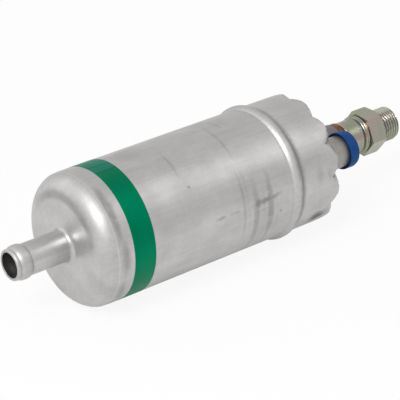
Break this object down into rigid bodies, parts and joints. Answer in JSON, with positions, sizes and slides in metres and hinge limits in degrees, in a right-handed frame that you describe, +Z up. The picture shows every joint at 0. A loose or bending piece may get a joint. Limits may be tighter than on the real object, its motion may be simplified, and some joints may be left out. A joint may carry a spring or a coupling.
{
  "type": "in-line electric fuel pump",
  "caption": "In-line electric fuel pump in a crimped aluminium can: hose nipple at one end, threaded non-return valve and two terminals at the other, roller-cell stage and motor inside.",
  "frame": {"origin": "on the pump axis, at the middle of the plain cylinder that a clamp band holds", "axes": "+X along the pump axis from the inlet nipple to the outlet valve, +Z up with the positive terminal's turret at the -Y side"},
  "size_m": [0.2157, 0.063, 0.063],
  "materials": {
    "can_aluminium": "satin mill-finish aluminium with faint tooling marks and smudges",
    "band_green": "glossy deep green foil",
    "natural_plastic": "natural moulded plastic",
    "gauze": "fine woven gauze",
    "stage_plate": "machined plate",
    "hard_steel": "ground hardened steel",
    "bright_steel": "ground bright steel",
    "spring_steel": "drawn spring wire",
    "brass": "turned brass",
    "sintered_bronze": "oil-filled sintered bronze",
    "plated_sheet": "zinc-plated pressed steel",
    "phenolic": "moulded phenolic resin",
    "lamination_steel": "stacked lamination sheets",
    "insulating_fibre": "red vulcanised fibre",
    "enamelled_wire": "enamelled copper wire",
    "bare_copper": "turned copper",
    "ferrite": "sintered ferrite",
    "black_plastic": "glass-filled black plastic",
    "carbon": "copper-graphite",
    "cast_aluminium": "die-cast aluminium, as cast with turned faces",
    "seal_rubber": "fuel-proof rubber",
    "zinc_bright": "bright zinc-plated steel",
    "cover_blue": "blue moulded plastic",
    "copper": "annealed copper",
    "zinc_yellow": "yellow-passivated zinc plating on steel"
  },
  "bodies": {
    "pump_body": {"can": "can_aluminium", "colour_band": "band_green", "strainer_frame": "natural_plastic", "strainer_gauze": "gauze", "suction_plate": "stage_plate", "cam_ring": "hard_steel", "discharge_plate": "stage_plate", "stage_dowels": "bright_steel", "relief_spring": "spring_steel", "relief_plug": "brass", "front_bush": "sintered_bronze", "middle_bush": "sintered_bronze", "rear_bush": "sintered_bronze", "bearing_bracket": "plated_sheet", "magnet_upper": "ferrite", "magnet_lower": "ferrite", "magnet_clips": "spring_steel", "flux_ring": "plated_sheet", "brush_holder": "black_plastic", "brush_guides": "brass", "brush_spring_a": "spring_steel", "brush_spring_b": "spring_steel", "suppression_chokes": "enamelled_wire", "terminal_leads": "bare_copper", "end_cap": "cast_aluminium", "end_cap_seal": "seal_rubber", "terminal_insulator": "natural_plastic", "positive_stud": "brass", "positive_nut": "brass", "negative_stud": "zinc_bright", "negative_nut": "zinc_bright", "terminal_washers": "zinc_bright", "copper_washer": "copper", "valve_body": "zinc_yellow", "valve_seat": "brass", "valve_spring": "spring_steel"},
    "armature": {"pump_rotor": "hard_steel", "drive_dog": "phenolic", "armature_shaft": "bright_steel", "armature_core": "lamination_steel", "core_insulators": "insulating_fibre", "windings": "enamelled_wire", "commutator_hub": "phenolic", "commutator_segments": "bare_copper", "thrust_washers": "natural_plastic"},
    "brush_a": {"brush_a": "carbon"},
    "brush_b": {"brush_b": "carbon"},
    "outlet_poppet": {"valve_poppet": "bright_steel", "valve_seal": "seal_rubber"},
    "relief_ball": {"relief_ball": "bright_steel"},
    "terminal_cover": {"terminal_cover": "cover_blue"},
    "roller_1": {"roller_1": "bright_steel"},
    "roller_2": {"roller_2": "bright_steel"},
    "roller_3": {"roller_3": "bright_steel"},
    "roller_4": {"roller_4": "bright_steel"},
    "roller_5": {"roller_5": "bright_steel"}
  },
  "joints": [
    {"name": "armature_spin", "type": "hinge", "parent": "pump_body", "child": "armature", "pos_m": [0, 0, 0], "axis": [1, 0, 0], "continuous": true},
    {"name": "roller_1_slide", "type": "slide", "parent": "armature", "child": "roller_1", "axis": [0, 0, -1], "range_m": [0, 0.0003]},
    {"name": "roller_2_slide", "type": "slide", "parent": "armature", "child": "roller_2", "axis": [0, 0.9511, -0.309], "range_m": [0, 0.0003]},
    {"name": "roller_3_slide", "type": "slide", "parent": "armature", "child": "roller_3", "axis": [0, 0.5878, 0.809], "range_m": [0, 0.0003]},
    {"name": "roller_4_slide", "type": "slide", "parent": "armature", "child": "roller_4", "axis": [0, -0.5878, 0.809], "range_m": [0, 0.0003]},
    {"name": "roller_5_slide", "type": "slide", "parent": "armature", "child": "roller_5", "axis": [0, -0.9511, -0.309], "range_m": [0, 0.0003]},
    {"name": "brush_a_slide", "type": "slide", "parent": "pump_body", "child": "brush_a", "axis": [0, 1, 0], "range_m": [0, 0.002], "stiffness_N_per_m": 150, "springref_m": -0.004, "deforming": ["brush_spring_a"]},
    {"name": "brush_b_slide", "type": "slide", "parent": "pump_body", "child": "brush_b", "axis": [0, -1, 0], "range_m": [0, 0.002], "stiffness_N_per_m": 150, "springref_m": -0.004, "deforming": ["brush_spring_b"]},
    {"name": "outlet_poppet_slide", "type": "slide", "parent": "pump_body", "child": "outlet_poppet", "axis": [1, 0, 0], "range_m": [0, 0.003], "stiffness_N_per_m": 60, "springref_m": -0.005, "deforming": ["valve_spring"]},
    {"name": "relief_ball_slide", "type": "slide", "parent": "pump_body", "child": "relief_ball", "axis": [-1, 0, 0], "range_m": [0, 0.002], "stiffness_N_per_m": 800, "springref_m": -0.005, "deforming": ["relief_spring"]},
    {"name": "terminal_cover_pull", "type": "slide", "parent": "pump_body", "child": "terminal_cover", "axis": [1, 0, 0], "range_m": [0, 0.015]}
  ]
}
